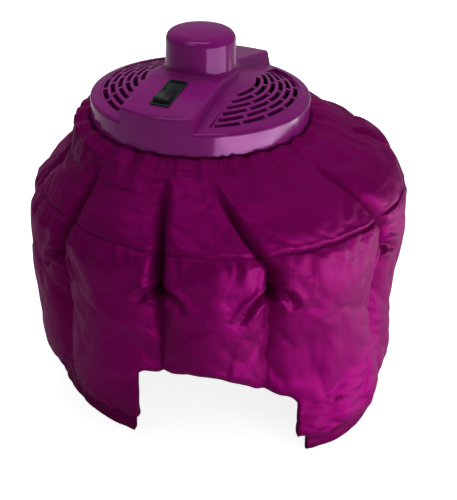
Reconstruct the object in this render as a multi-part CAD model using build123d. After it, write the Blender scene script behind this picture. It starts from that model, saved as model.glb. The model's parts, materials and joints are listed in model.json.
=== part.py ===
import math
import os

from build123d import *

os.makedirs("parts", exist_ok=True)

# Row frame: hem on z = 0, face opening towards -Y, hood centred on the Z axis.
rim_height = 285.0          # hem to the rim plane of the motor unit
unit_axis_x = -13.0         # unit axis against the hood centre
unit_turn = 22.0            # unit swivelled in its collar, degrees

# Motor unit (own frame: z = 0 at the rim plane, switch end at -Y)
wall = 2.5
skirt_radius = 100.0
skirt_depth = 20.0
cap_apex = 25.5             # cone of the cap, carried to the axis
cap_slope = 0.255
rim_fillet = 4.0
bridge_half = 34.3
bridge_top_half = 33.3
bridge_rear_top_half = 25.0
bridge_crown = 24.2
bridge_end_height = 13.8
bridge_flat = 34.0
bridge_rear_start = 9.0
bridge_fillet = 2.5
dome_base_radius = 32.4
dome_top_radius = 31.0
dome_height = 60.5
dome_crown_radius = 120.0
dome_fillet = 8.0
dome_chamfer = 4.2
flare = 3.0
flare_overlap = 0.4         # flare reaches into the dome
flare_side_gap = 0.7        # flare to the edge of the bridge top
through = 200.0             # longer than any cut

# Intake grille
ledge = 42.5
grille_inner = 44.0
grille_edge = 9.5           # grille zone to the skirt
pocket_offset = 14.0        # steeper cone of the recessed corners
pocket_apex = 28.7
pocket_slope = 0.347
slot_rows = 6
slot_first = 9.5            # innermost row outside the ledge
slot_edge = 4.5             # outermost row to the edge of the grille zone
slot_width = 4.0
slot_gap = 3.6
slot_margin = 1.6

# Base of the unit
spigot_clearance = 0.3
bottom_gap = 0.5            # floor of the base below the lip
spigot_height = 8.0
collar_room = 7.0           # neck inside the skirt
neck_depth = 15.5
lip_reach = 4.0
base_floor = 2.5
base_wall = 2.4
outlet_radius = 47.0

guard_rings = ((45.0, 51.0), (24.0, 26.0))
guard_spokes = 6
guard_thickness = 2.1
guard_spoke_width = 1.8
seat_gap = 0.1              # between pieces that are screwed or pressed together

# Screws and bosses
boss_x = 18.0
boss_inset = 19.0           # boss axis to the skirt
boss_radius = 4.0
pillar_radius = 5.0
screw_radius = 1.3
screw_head_radius = 3.0
screw_head_height = 2.2
screw_length = 13.0
screw_seat = 4.0            # screw head below the split between boss and pillar
hole_clearance = 0.3
head_clearance = 0.5
pilot_radius = 1.5
pilot_depth = 12.0
boss_split = -14.0
motor_boss = (14.0, 33.0)
motor_boss_radius = 3.6
motor_pilot_depth = 6.0
motor_screw_head_radius = 2.6
motor_screw_head_height = 1.6
motor_screw_length = 6.5

# Motor and fan
motor_radius = 18.0
motor_length = 34.0
motor_seat = 14.0
bracket_thickness = 1.6
bracket_radius = 20.0
bracket_arm = 9.0
bracket_eye = 5.0
bracket_bore = 6.2
nose_wall = 1.6             # round the bushes, on the can and its cap
shaft_radius = 1.5
running_clearance = 0.05
shaft_fit = 0.02
bush_radius = 4.0
bush_length = 5.0
duct_radius = 47.6
duct_wall = 2.2
duct_top = 2.0
duct_flange_width = 6.2
duct_ledge_width = 3.6
duct_floor = 1.6
blade_clearance = 1.2
blade_count = 7
blade_chord = 20.0
blade_camber = 2.4
blade_pitch = 32.0
blade_centre = 7.5          # blade middle above the bottom of the hub
blade_thickness = 1.6
hub_radius = 13.0
hub_bottom = -12.0
hub_height = 16.0

# Cord inlet and leads
gland_z = 2.0
gland_seat = 6.2
gland_clearance = 0.15
gland_flange = 8.0
gland_flange_low = (-3.2, -1.2)
gland_flange_high = (3.2, 5.0)
gland_bore = 3.5
wire_radius = 1.1
wire_start = 11.0           # leads begin inside the skirt, in the gland
terminal_rows = (-12.0, -4.0, 4.0)
terminal_length = 7.0
terminal_half = 2.4
terminal_thickness = 0.8

# Heater
mica_thickness = 0.8
mica_top = -15.0
ribbon_levels = (-31.0, -24.0)
ribbon_height = 2.4
ribbon_inner = 33.0
ribbon_outer = 41.0
ribbon_teeth = 24
ribbon_turn = 344.0
ribbon_thickness = 0.7
notch_clearance = 0.15
notch_reach = 2.0           # notches in the mica past the ribbon
plate_clearance = 0.4       # mica to the duct
cross_gap = 0.1             # where the two mica plates cross
tab_x = 45.2                # heater terminals
tab_width = 3.2
tab_faces = (0.5, 1.3)
device_x = 20.0             # thermostat and fuse from the axis
device_z = -25.0
thermostat_radius = 6.0
thermostat_cap_radius = 4.8
thermostat_height = 5.9
thermostat_base = 4.4
fuse_radius = 2.0
fuse_half = 5.5
fuse_lead_radius = 0.6
fuse_lead_half = 8.5

# Rocker switch (own frame on the sloping bridge top)
switch_x = -2.0
switch_y = -62.0
bezel_width = 18.0
bezel_length = 43.0
bezel_thickness = 1.2
switch_width = 15.6
switch_length = 40.0
switch_depth = 17.0
switch_wall = 0.6
switch_well = 9.5
cutout_clearance = 0.2
bezel_chamfer = 0.8
rocker_half_length = 18.0
rocker_wing = 3.4
rocker_low = 1.1            # middle of the hollow top
rocker_mid = 1.9
rocker_skirt = 3.4
rocker_belly = 6.2
rocker_belly_half = 5.0
rocker_fillet = 1.4
rocker_side_clearance = 0.2
rocker_tilt = 8.0
pivot_depth = 3.0
pivot_radius = 1.0
pivot_clearance = 0.06

# Hood envelope: height, inset from hood_radius over the lobes, depth of the creases
lobes = 10
lobe_facets = 6
lining_facets = 4
shell = 3.0
seam_height = 207.0
seam_inset = 10.0
tuft_height = 168.0
hood_radius = 180.0
body_sections = (
    (18.0, 23.6, 0.8),
    (25.0, 15.0, 3.0),
    (46.0, 6.5, 6.0),
    (88.0, 3.0, 8.0),
    (130.0, 0.0, 11.0),
    (tuft_height, 0.0, 20.0),
    (tuft_height + 22.0, 3.5, 14.0),
    (seam_height, seam_inset, 9.0),
)
# Yoke: height above the seam for a rise of 58, share of the way in to the collar, crease, shift
yoke_rise = 58.0
yoke_sections = (
    (0.0, 0.0, 9.0, 0.0),
    (19.0, 0.15, 7.0, 0.15),
    (39.0, 0.39, 4.5, 0.45),
    (54.5, 0.69, 2.0, 0.8),
    (59.0, 0.9, 0.8, 1.0),
    (54.0, 1.0, 0.4, 1.0),
)

# Collar, cuff, liner, face opening
soft_clearance = 0.3
seat_clearance = 0.4
gather_count = 24
gather_depth = 1.0
elastic_thickness = 2.0
frill_thickness = 2.8
frill_height = 4.5
yoke_gap = 0.5
cuff_inset = 32.7           # cuff inside the widest part of the hood
cuff_thickness = 3.2
cuff_height = 30.0
liner_gap = 0.3
liner_corner_count = 20
liner_spring = 105.0
liner_crown = 231.0
liner_thickness = 1.6
vent_radius = 4.0
vent_rings = ((36.0, 6), (72.0, 8))
face_half = 78.0
face_top = 94.0
face_corner = 30.0
face_trim = 2.0
tape_height = 14.0
tape_thickness = 1.6

UNIT = Pos(unit_axis_x, 0, rim_height) * Rot(0, 0, -unit_turn)
grille_outer = skirt_radius - grille_edge
slot_pitch = (grille_outer - slot_edge - ledge - slot_first) / (slot_rows - 1)
boss_y = skirt_radius - boss_inset
neck_radius = skirt_radius - collar_room
lip_radius = neck_radius + lip_reach
blade_tip = duct_radius - blade_clearance
collar_seat = rim_height - skirt_depth
collar_bottom = collar_seat - neck_depth + 0.7
collar_outer = skirt_radius + frill_thickness
yoke_hole = collar_outer + yoke_gap
cuff_inner = hood_radius - cuff_inset
liner_radius = cuff_inner - liner_gap
bridge_fall = (bridge_crown - bridge_end_height) / (neck_radius - bridge_flat)


def bridge_height(y):
    return bridge_crown - bridge_fall * (abs(y) - bridge_flat)


switch_slope = math.degrees(math.atan(bridge_fall))
switch_z = bridge_height(switch_y)
SWITCH = Pos(switch_x, switch_y, switch_z) * Rot(switch_slope, 0, 0)
base_bottom = -skirt_depth - neck_depth - base_floor - bottom_gap
floor_top = base_bottom + base_floor


def polar(radius, angle):
    a = math.radians(angle)
    return (radius * math.cos(a), radius * math.sin(a))


def tube(radius, low, high, x=0.0, y=0.0):
    return Pos(x, y, (low + high) / 2) * Cylinder(radius, high - low)


def ring(inner, outer, low, high):
    return tube(outer, low, high) - tube(inner, low - 1, high + 1)


def post(radius, low, high, x=0.0, y=0.0, sides=8):
    return Pos(x, y, low) * extrude(RegularPolygon(radius, sides), high - low)


def block(x0, x1, y0, y1, z0, z1):
    centre = Pos((x0 + x1) / 2, (y0 + y1) / 2, (z0 + z1) / 2)
    return centre * Box(x1 - x0, y1 - y0, z1 - z0)


def turned(points):
    face = Plane.XZ * make_face(Polyline(*points, close=True))
    return revolve(face, Axis.Z)


# ---------------------------------------------------------------- motor unit
def cone_form(apex, slope, radius, low, rounding=0.0):
    edge = apex - slope * radius
    points = [(0, low), (radius, low), (radius, edge), (0, apex)]
    face = make_face(Polyline(*points, close=True))
    if rounding:
        face = fillet(face.vertices().sort_by(Axis.Y)[2], rounding)
    return revolve(Plane.XZ * face, Axis.Z)


def cap_form(inset, rounding=0.0):
    low = -skirt_depth - (1.0 if inset else 0.0)
    apex = cap_apex - inset * math.hypot(1, cap_slope)
    return cone_form(apex, cap_slope, skirt_radius - inset, low, rounding)


def bridge_prism(top_half, y0, y1, inset):
    low = -10.0
    points = [
        (-bridge_half + inset, low),
        (bridge_half - inset, low),
        (top_half - inset, bridge_crown + 0.01),
        (-top_half + inset, bridge_crown + 0.01),
    ]
    face = Plane.XZ * make_face(Polyline(*points, close=True))
    return Pos(0, y1, 0) * extrude(face, y1 - y0)


def bridge_form(inset):
    front = bridge_prism(bridge_top_half, -skirt_radius, bridge_rear_start, inset)
    rear = bridge_prism(bridge_rear_top_half, bridge_rear_start, skirt_radius, inset)
    end = bridge_height(skirt_radius + 5) - inset
    side = [
        (-skirt_radius - 5, -10),
        (-skirt_radius - 5, end),
        (-bridge_flat, bridge_crown - inset),
        (bridge_flat, bridge_crown - inset),
        (skirt_radius + 5, end),
        (skirt_radius + 5, -10),
    ]
    face = Plane.YZ * make_face(Polyline(*side, close=True))
    profile = Pos(-50, 0, 0) * extrude(face, 100)
    return (front + rear) & profile & tube(skirt_radius - inset, -12, 60)


def dome_form(inset):
    top = dome_height - inset
    sphere = dome_crown_radius
    radius = dome_top_radius - inset
    edge = (radius, top - sphere + math.sqrt(sphere**2 - radius**2))
    half = (radius / 2, top - sphere + math.sqrt(sphere**2 - radius**2 / 4))
    base = (dome_base_radius + 0.4 - inset, 0)
    if inset:
        rim = (radius, edge[1] - dome_chamfer)
        crown = (radius - dome_chamfer, edge[1])
        return turned([(0, 0), base, rim, crown, (0, edge[1])])
    edges = [
        Line((0, 0), base),
        Line(base, edge),
        ThreePointArc(edge, half, (0, top)),
        Line((0, top), (0, 0)),
    ]
    face = make_face(edges)
    corner = face.vertices().filter_by(lambda v: abs(v.X - radius) < 0.01)
    return revolve(Plane.XZ * fillet(corner, dome_fillet), Axis.Z)


def dome_flare():
    top = dome_base_radius - flare_overlap
    inner = dome_base_radius / 2
    points = [(inner, bridge_crown - 1), (dome_base_radius + flare, bridge_crown - 1)]
    for angle in (0, 30, 60, 90):
        a = math.radians(angle)
        points.append((top + (flare + flare_overlap) * (1 - math.sin(a)),
                       bridge_crown + flare * (1 - math.cos(a))))
    points.append((inner, bridge_crown + flare))
    half = bridge_top_half - flare_side_gap
    return turned(points) & block(-half, half, -bridge_flat, bridge_flat, 0, dome_height)


def grille_sector(side, grow):
    zone = ring(grille_inner - grow, grille_outer + grow, -15, 30)
    if side > 0:
        half = block(ledge - grow, through, -through, through, -15, 40)
    else:
        half = block(-through, -ledge + grow, -through, through, -15, 40)
    return zone & half


def grille_recess(drop, grow):
    cuts = []
    for side in (1, -1):
        floor = cone_form(pocket_apex - drop * 1.06, pocket_slope, skirt_radius + 30, -60)
        floor = Pos(side * pocket_offset, 0, 0) * floor
        cuts.append(grille_sector(side, grow) - floor)
    return cuts


def slot_face(radius, start, end):
    inner = radius - slot_width / 2
    outer = radius + slot_width / 2
    mid = (start + end) / 2
    edges = [
        ThreePointArc(polar(inner, start), polar(inner, mid), polar(inner, end)),
        Line(polar(inner, end), polar(outer, end)),
        ThreePointArc(polar(outer, end), polar(outer, mid), polar(outer, start)),
        Line(polar(outer, start), polar(inner, start)),
    ]
    return make_face(edges)


def slot_faces():
    faces = []
    for row in range(slot_rows):
        radius = ledge + slot_first + slot_pitch * row
        count = row + 2
        reach = math.degrees(math.acos((ledge + slot_margin) / (radius - slot_width / 2)))
        gap = math.degrees(slot_gap / radius)
        pitch = (2 * reach + gap) / count
        for centre in (0, 180):
            for i in range(count):
                start = centre - reach + i * pitch
                faces.append(slot_face(radius, start, start + pitch - gap))
    return faces


def boss_places():
    return [(sx * boss_x, sy * boss_y) for sx in (1, -1) for sy in (1, -1)]


def top_housing():
    bridge = bridge_form(0)
    top_edges = bridge.edges().filter_by(
        lambda e: e.center().Z > bridge_end_height - 4 and e.length > 20
    )
    bridge = fillet(top_edges, bridge_fillet)
    outer = cap_form(0, rim_fillet) + bridge + dome_form(0) + dome_flare()
    hollow = cap_form(wall) + bridge_form(wall) + dome_form(wall)
    shell_part = outer
    for cut in grille_recess(0, 0):
        shell_part = shell_part - cut
    for cut in grille_recess(wall, wall):
        hollow = hollow - cut
    shell_part = shell_part - hollow
    for face in slot_faces():
        shell_part = shell_part - Pos(0, 0, -15) * extrude(face, 50)
    half_w = switch_width / 2 + cutout_clearance
    half_l = switch_length / 2 + cutout_clearance
    opening = SWITCH * block(-half_w, half_w, -half_l, half_l, -8, 8)
    shell_part = shell_part - opening
    boss_top = bridge_height(boss_y) - wall / 2
    for x, y in boss_places():
        shell_part = shell_part + post(boss_radius, boss_split, boss_top, x, y)
        shell_part = shell_part - post(pilot_radius, boss_split - 1, boss_split + pilot_depth, x, y)
    motor_pilot_top = motor_seat + motor_pilot_depth
    for sign in (1, -1):
        x = sign * motor_boss[0]
        y = sign * motor_boss[1]
        top = bridge_crown - wall / 2
        shell_part = shell_part + post(motor_boss_radius, motor_seat, top, x, y)
        shell_part = shell_part - post(pilot_radius, motor_seat - 1, motor_pilot_top, x, y)
    return shell_part - gland_hole()


def gland_place(y):
    return Pos(0, y, gland_z) * Rot(90, 0, 0)


def gland_hole():
    return gland_place(skirt_radius) * post(gland_seat, -15, 20, sides=16)


def cord_gland():
    body = post(gland_seat - gland_clearance, gland_flange_low[0], gland_flange_high[1], sides=16)
    body = body + post(gland_flange, *gland_flange_low, sides=16)
    body = body + post(gland_flange, *gland_flange_high, sides=16)
    return gland_place(skirt_radius) * (body - tube(gland_bore, -20, 20))


def base_housing():
    spigot = skirt_radius - wall - spigot_clearance
    top = -skirt_depth + spigot_height
    lip_top = -skirt_depth - neck_depth
    points = [
        (spigot, top),
        (spigot, -skirt_depth),
        (neck_radius, -skirt_depth),
        (neck_radius, lip_top),
        (lip_radius, lip_top),
        (lip_radius, base_bottom),
        (outlet_radius, base_bottom),
        (outlet_radius, floor_top),
        (neck_radius - base_wall, floor_top),
        (neck_radius - base_wall, top),
    ]
    body = turned(points)
    for x, y in boss_places():
        body = body + post(pillar_radius, base_bottom, boss_split - seat_gap, x, y)
        head = post(screw_head_radius + head_clearance, base_bottom - 1, boss_split - screw_seat, x, y)
        body = body - head - post(screw_radius + hole_clearance, base_bottom, boss_split + 2, x, y)
    return body


def screw(seat, head_radius, head, length, x, y):
    body = post(head_radius, seat - head, seat, x, y, 6)
    return (body + post(screw_radius, seat - head, seat + length, x, y)).solids()[0]


def housing_screws():
    seat = boss_split - screw_seat
    screws = []
    for x, y in boss_places():
        screws.append(screw(seat, screw_head_radius, screw_head_height, screw_length, x, y))
    return Compound(children=screws)


def outlet_guard():
    high = base_bottom - seat_gap
    low = high - guard_thickness
    guard = None
    for inner, outer in guard_rings:
        hoop = post(outer, low, high, sides=24) - post(inner, low - 1, high + 1, sides=24)
        guard = hoop if guard is None else guard + hoop
    reach = guard_rings[0][0] + 1
    for i in range(guard_spokes // 2):
        spoke = block(-reach, reach, -guard_spoke_width / 2, guard_spoke_width / 2, low, high)
        guard = guard + Rot(0, 0, 360 / guard_spokes * i) * spoke
    return guard


def fan_duct():
    floor = floor_top + seat_gap
    ledge_top = floor + duct_floor
    points = [
        (duct_radius, duct_top),
        (duct_radius + duct_wall, duct_top),
        (duct_radius + duct_wall, ledge_top),
        (duct_radius + duct_wall + duct_flange_width, ledge_top),
        (duct_radius + duct_wall + duct_flange_width, floor),
        (duct_radius - duct_ledge_width, floor),
        (duct_radius - duct_ledge_width, ledge_top),
        (duct_radius, ledge_top),
    ]
    holes = block(-60, 60, 1.0, 5.0, mica_top - 3.5, mica_top + 0.8)
    return turned(points) - holes


# ---------------------------------------------------------------- motor, fan
def motor_bracket():
    low = motor_seat - bracket_thickness - 0.05
    high = motor_seat - 0.05
    angle = math.degrees(math.atan2(motor_boss[1], motor_boss[0]))
    reach = math.hypot(*motor_boss)
    plate = post(bracket_radius, low, high, sides=16)
    arm = block(-reach, reach, -bracket_arm / 2, bracket_arm / 2, low, high)
    plate = plate + Rot(0, 0, angle) * arm
    for sign in (1, -1):
        x = sign * motor_boss[0]
        y = sign * motor_boss[1]
        plate = plate + post(bracket_eye, low, high, x, y)
        plate = plate - post(screw_radius + hole_clearance, low - 1, high + 1, x, y)
    return plate - post(bracket_bore, low - 1, high + 1)


def motor_screws():
    seat = motor_seat - bracket_thickness - 0.1
    screws = []
    for sign in (1, -1):
        x = sign * motor_boss[0]
        y = sign * motor_boss[1]
        screws.append(screw(seat, motor_screw_head_radius, motor_screw_head_height,
                            motor_screw_length, x, y))
    return Compound(children=screws)


def motor_can():
    top = motor_seat + motor_length
    can = tube(motor_radius, motor_seat, top)
    can = can + post(bush_radius + nose_wall, motor_seat - 3, motor_seat + 1)
    can = can - post(bush_radius, motor_seat - 4, motor_seat + 3)
    return can - post(shaft_radius + 1, motor_seat, top + 1)


def motor_end_cap():
    top = motor_seat + motor_length
    cap = tube(motor_radius, top + 0.05, top + 2.6)
    cap = cap + post(bush_radius + nose_wall, top + 1, top + 5)
    return cap - post(bush_radius, top - 1, top + 6)


def motor_bushes():
    bushes = []
    for low in (motor_seat - 2.8, motor_seat + motor_length + 0.1):
        bush = post(bush_radius - 0.05, low, low + bush_length)
        bore = RegularPolygon(shaft_radius + running_clearance, 12, major_radius=False)
        bush = bush - Pos(0, 0, low) * extrude(bore, bush_length)
        bushes.append(bush.solids()[0])
    return Compound(children=bushes)


def motor_shaft():
    return post(shaft_radius, hub_bottom + 3, motor_seat + motor_length + 4.6, sides=12)


def fan_blade():
    end = blade_chord / 2
    low = -blade_thickness / 2
    high = blade_thickness / 2
    section = [
        ThreePointArc((-end, low), (0, low + blade_camber), (end, low)),
        Line((end, low), (end, high)),
        ThreePointArc((end, high), (0, high + blade_camber), (-end, high)),
        Line((-end, high), (-end, low)),
    ]
    root = Plane(origin=(hub_radius - 2, 0, hub_bottom + blade_centre),
                 x_dir=(0, 1, 0), z_dir=(1, 0, 0))
    blade = extrude(root * Rot(0, 0, blade_pitch) * make_face(section), blade_tip)
    return blade & tube(blade_tip, hub_bottom, hub_bottom + hub_height)


def impeller():
    hub = tube(hub_radius, hub_bottom, hub_bottom + hub_height)
    blade = fan_blade()
    for i in range(blade_count):
        hub = hub + Rot(0, 0, 360 / blade_count * i) * blade
    bore = post(shaft_radius + shaft_fit, hub_bottom - 1, hub_bottom + hub_height + 1, sides=12)
    return hub - bore


# ---------------------------------------------------------------- heater
def mica_plate(along_x):
    low = floor_top + 0.2 + duct_floor
    half = duct_radius - plate_clearance
    middle = (low + mica_top) / 2
    plate = block(-half, half, -mica_thickness / 2, mica_thickness / 2, low, mica_top)
    for level in ribbon_levels:
        for sign in (1, -1):
            x0 = sign * (ribbon_inner - notch_reach)
            x1 = sign * (ribbon_outer + notch_reach)
            plate = plate - block(
                min(x0, x1), max(x0, x1), -2, 2,
                level - notch_clearance, level + ribbon_height + notch_clearance,
            )
    gap = mica_thickness / 2 + cross_gap
    if along_x:
        return plate - block(-gap, gap, -5, 5, middle, mica_top + 1)
    return Rot(0, 0, 90) * (plate - block(-gap, gap, -5, 5, low - 1, middle + 0.2))


def mica_frame():
    return Compound(children=[mica_plate(True).solids()[0], mica_plate(False).solids()[0]])


def ribbon(level, start):
    outer = []
    inner = []
    for i in range(ribbon_teeth + 1):
        radius = ribbon_outer if i % 2 else ribbon_inner
        angle = start + (360 - ribbon_turn) / 2 + ribbon_turn / ribbon_teeth * i
        outer.append(polar(radius + ribbon_thickness / 2, angle))
        inner.append(polar(radius - ribbon_thickness / 2, angle))
    face = make_face(Polyline(*(outer + inner[::-1]), close=True))
    return Pos(0, 0, level) * extrude(face, ribbon_height)


def heater_element():
    ribbons = [ribbon(level, 180 * i).solids()[0] for i, level in enumerate(ribbon_levels)]
    return Compound(children=ribbons)


def heater_terminals():
    tabs = []
    for sign in (1, -1):
        x = sign * tab_x
        tab = block(x - tab_width / 2, x + tab_width / 2, *tab_faces, mica_top - 4, mica_top + 1)
        tabs.append(tab.solids()[0])
    return Compound(children=tabs)


def thermostat():
    place = Pos(device_x, mica_thickness / 2 + seat_gap, device_z) * Rot(-90, 0, 0)
    base = post(thermostat_radius, 0, thermostat_base, sides=12)
    return place * (base + post(thermostat_cap_radius, 4.0, thermostat_height, sides=12))


def thermal_fuse():
    out = mica_thickness / 2 + fuse_radius + seat_gap
    place = Pos(-device_x, out, device_z) * Rot(0, 90, 0)
    lead = post(fuse_lead_radius, -fuse_lead_half, fuse_lead_half, sides=6)
    return place * (post(fuse_radius, -fuse_half, fuse_half) + lead)


# ---------------------------------------------------------------- switch, wires
def switch_body():
    half_w = switch_width / 2
    half_l = switch_length / 2
    body = block(-half_w, half_w, -half_l, half_l, -switch_depth, bezel_thickness)
    bezel = block(-bezel_width / 2, bezel_width / 2, -bezel_length / 2, bezel_length / 2,
                  0.05, bezel_thickness)
    body = body + chamfer(bezel.edges().filter_by(Axis.Z), bezel_chamfer)
    body = body - block(-half_w + switch_wall, half_w - switch_wall,
                        -half_l + switch_wall, half_l - switch_wall, -switch_well, 5)
    eyes = tube(pivot_radius + pivot_clearance, -half_w, half_w)
    return SWITCH * (body - Pos(0, 0, -pivot_depth) * Rot(0, 90, 0) * eyes)


def rocker_button():
    half_w = switch_width / 2 - switch_wall - rocker_side_clearance
    ends = rocker_half_length
    belly = rocker_belly_half
    outline = [
        Line((-ends, -rocker_skirt), (-ends, rocker_wing)),
        ThreePointArc((-ends, rocker_wing), (-ends / 2, rocker_mid), (0, rocker_low)),
        ThreePointArc((0, rocker_low), (ends / 2, rocker_mid), (ends, rocker_wing)),
        Line((ends, rocker_wing), (ends, -rocker_skirt)),
        Line((ends, -rocker_skirt), (belly, -rocker_belly)),
        Line((belly, -rocker_belly), (-belly, -rocker_belly)),
        Line((-belly, -rocker_belly), (-ends, -rocker_skirt)),
    ]
    face = Plane.YZ * make_face(outline)
    body = Pos(-half_w, 0, 0) * extrude(face, 2 * half_w)
    wings = body.edges().filter_by(Axis.X).sort_by(Axis.Z)[-2:]
    body = fillet(wings, rocker_fillet)
    reach = switch_width / 2 - 0.2
    pins = Pos(0, 0, -pivot_depth) * Rot(0, 90, 0) * tube(pivot_radius, -reach, reach)
    turn = Pos(0, 0, -pivot_depth) * Rot(-rocker_tilt, 0, 0) * Pos(0, 0, pivot_depth)
    return SWITCH * turn * (body + pins)


def switch_terminals():
    half = terminal_thickness / 2
    low = -switch_depth - terminal_length
    blades = []
    for y in terminal_rows:
        blade = block(-terminal_half, terminal_half, y - half, y + half, low, -switch_depth - 0.05)
        blades.append(blade.solids()[0])
    return SWITCH * Compound(children=blades)


def terminal_tip(y):
    drop = switch_depth + terminal_length + wire_radius + 0.1
    place = (SWITCH * Pos(0, y, -drop)).position
    return (place.X, place.Y, place.Z)


def wire(points):
    path = Polyline(*points)
    profile = Plane(path.location_at(0)) * RegularPolygon(wire_radius, 6)
    return sweep(profile, path, transition=Transition.RIGHT).solids()[0]


def lead_wires():
    low = mica_top - 1.5
    first = terminal_tip(terminal_rows[0])
    last = terminal_tip(terminal_rows[-1])
    start = skirt_radius - wire_start
    runs = [
        [(2.2, start, gland_z), (12, 66, -6), (58, 30, -10), (56, -30, -10), (14, -58, -12), last],
        [first, (-20, -74, -12), (-60, -30, -12), (-62, 2.6, low), (-46.5, 2.6, low)],
        [(-2.2, start, gland_z), (-8, 66, -14), (20, 60, -18), (62, 24, -17), (60, 2.6, low),
         (46.5, 2.6, low)],
    ]
    return Compound(children=[wire(points) for points in runs])


# ---------------------------------------------------------------- hood
def lobed(height, radius, depth, shift=0.0, facets=lobe_facets):
    """Ring of points over the lobes, with a crease between each two."""
    points = []
    for k in range(lobes * facets):
        across = (k % facets) / facets * 2 - 1
        angle = -90 - 180 / lobes + 360 / lobes / facets * k
        x, y = polar(radius - depth * across * across, angle)
        points.append(Vector(x + unit_axis_x * shift, y, height))
    return points


def polygon_face(points):
    return Face(Wire.make_polygon(points))


def side_faces(low, high):
    faces = []
    count = len(low)
    for i in range(count):
        k = (i + 1) % count
        a, b, c, d = low[i], low[k], high[k], high[i]
        normal = (b - a).cross(d - a).normalized()
        if abs(normal.dot(c - a)) < 1e-6:
            faces.append(polygon_face([a, b, c, d]))
        else:
            faces.append(polygon_face([a, b, c]))
            faces.append(polygon_face([a, c, d]))
    return faces


def facet_solid(rings):
    faces = [polygon_face(rings[0][::-1]), polygon_face(rings[-1])]
    for low, high in zip(rings, rings[1:]):
        faces += side_faces(low, high)
    return Solid(Shell(faces))


def body_form(inset=0.0, facets=lobe_facets):
    rings = []
    for height, inward, depth in body_sections:
        rings.append(lobed(height, hood_radius - inward - inset, depth, 0.0, facets))
    return facet_solid(rings)


def yoke_radius(share):
    seam = hood_radius - seam_inset
    return seam + (yoke_hole - 0.3 - seam) * share


def yoke_height(rise):
    return seam_height + rise * (collar_seat - seam_height) / yoke_rise


def yoke_form():
    rings = []
    for rise, share, depth, shift in yoke_sections:
        rings.append(lobed(yoke_height(rise), yoke_radius(share), depth, shift))
    return facet_solid(rings)


def yoke_cavity():
    rings = []
    for rise, share, depth, shift in yoke_sections:
        height = yoke_height(rise)
        flat = (height - seam_height) / (collar_seat - seam_height)
        radius = yoke_radius(share) - shell * (1 - flat * 0.6)
        rings.append(lobed(height - shell * flat, radius, depth, shift, lining_facets))
    return facet_solid(rings)


def face_form(inset):
    half = face_half - inset
    top = face_top - inset
    face = Rectangle(2 * half, 2 * top)
    face = fillet(face.vertices(), face_corner - inset)
    return Pos(0, -liner_radius / 2, 0) * extrude(Plane.XZ * face, hood_radius)


def liner_form(inset):
    low = -1 if inset > 0 else 0.4
    radius = liner_radius - inset
    rise = liner_crown - liner_spring - inset
    sizes = [(low, radius)]
    for angle in (0, 22, 42, 60, 76):
        a = math.radians(angle)
        sizes.append((liner_spring + rise * math.sin(a), radius * math.cos(a)))
    rings = []
    for height, size in sizes:
        corners = [polar(size, 360 / liner_corner_count * k) for k in range(liner_corner_count)]
        rings.append([Vector(x, y, height) for x, y in corners])
    return facet_solid(rings)


def liner_shell():
    body = liner_form(0) - liner_form(liner_thickness)
    for radius, count in vent_rings:
        for i in range(count):
            x, y = polar(radius, 360 / count * (i + 0.5))
            body = body - post(vent_radius, liner_spring, liner_crown + 5, x, y, 6)
    return body


def polygon_tube(radius, low, high):
    face = RegularPolygon(radius, 2 * gather_count, major_radius=False)
    return Pos(0, 0, low) * extrude(face, high - low)


def gathered(radius, depth, low, high):
    points = []
    for k in range(2 * gather_count):
        points.append(polar(radius - depth * (k % 2), 180 / gather_count * k))
    return Pos(0, 0, low) * extrude(make_face(Polyline(*points, close=True)), high - low)


def collar_casing():
    top = collar_seat - seat_clearance
    body = gathered(collar_outer, gather_depth, collar_bottom, top + frill_height)
    body = body - polygon_tube(skirt_radius + soft_clearance, top, rim_height)
    bore = neck_radius + 2 * soft_clearance + elastic_thickness
    return Pos(unit_axis_x, 0, 0) * (body - polygon_tube(bore, seam_height, rim_height))


def collar_elastic():
    top = collar_seat - seat_clearance
    inner = neck_radius + soft_clearance
    band = polygon_tube(inner + elastic_thickness, collar_bottom, top)
    return Pos(unit_axis_x, 0, 0) * (band - tube(inner, seam_height, rim_height))


def hem_cuff():
    outer = cuff_inner + cuff_thickness
    cuff = gathered(outer, gather_depth, 0, cuff_height)
    return cuff - polygon_tube(cuff_inner, -1, cuff_height + 1)


def tether_tapes(inner_form):
    tapes = []
    hole = liner_form(-0.15)
    for k in range(lobes):
        angle = -90 + 180 / lobes + 360 / lobes * k
        strip = Rot(0, 0, angle) * block(
            hood_radius / 2, hood_radius, -tape_thickness / 2, tape_thickness / 2,
            tuft_height - tape_height / 2, tuft_height + tape_height / 2,
        )
        strip = (strip & inner_form) - hole
        tapes.append(strip.solids()[0])
    return Compound(children=tapes)


def hood_parts():
    opening = face_form(0)
    outer = body_form()
    hole = Pos(unit_axis_x, 0, 0) * polygon_tube(yoke_hole, seam_height, rim_height)
    envelope = outer + tube(cuff_inner + cuff_thickness - gather_depth, 0, cuff_height)
    band = face_form(0.1) - face_form(face_trim)
    band = (band & envelope) - liner_form(liner_thickness)
    return {
        "hood_yoke": Pos(0, 0, 0.1) * (yoke_form() - yoke_cavity()) - hole,
        "hood_body": (outer - body_form(shell, lining_facets)) - opening,
        "hood_liner": liner_shell() - opening,
        "hem_cuff": hem_cuff() - opening,
        "face_band": band - block(-hood_radius, hood_radius, -hood_radius, 0, -face_top, 0),
        "hood_collar": collar_casing(),
        "collar_elastic": collar_elastic(),
        "tether_tapes": tether_tapes(body_form(shell + 0.1, lining_facets)),
    }


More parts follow.
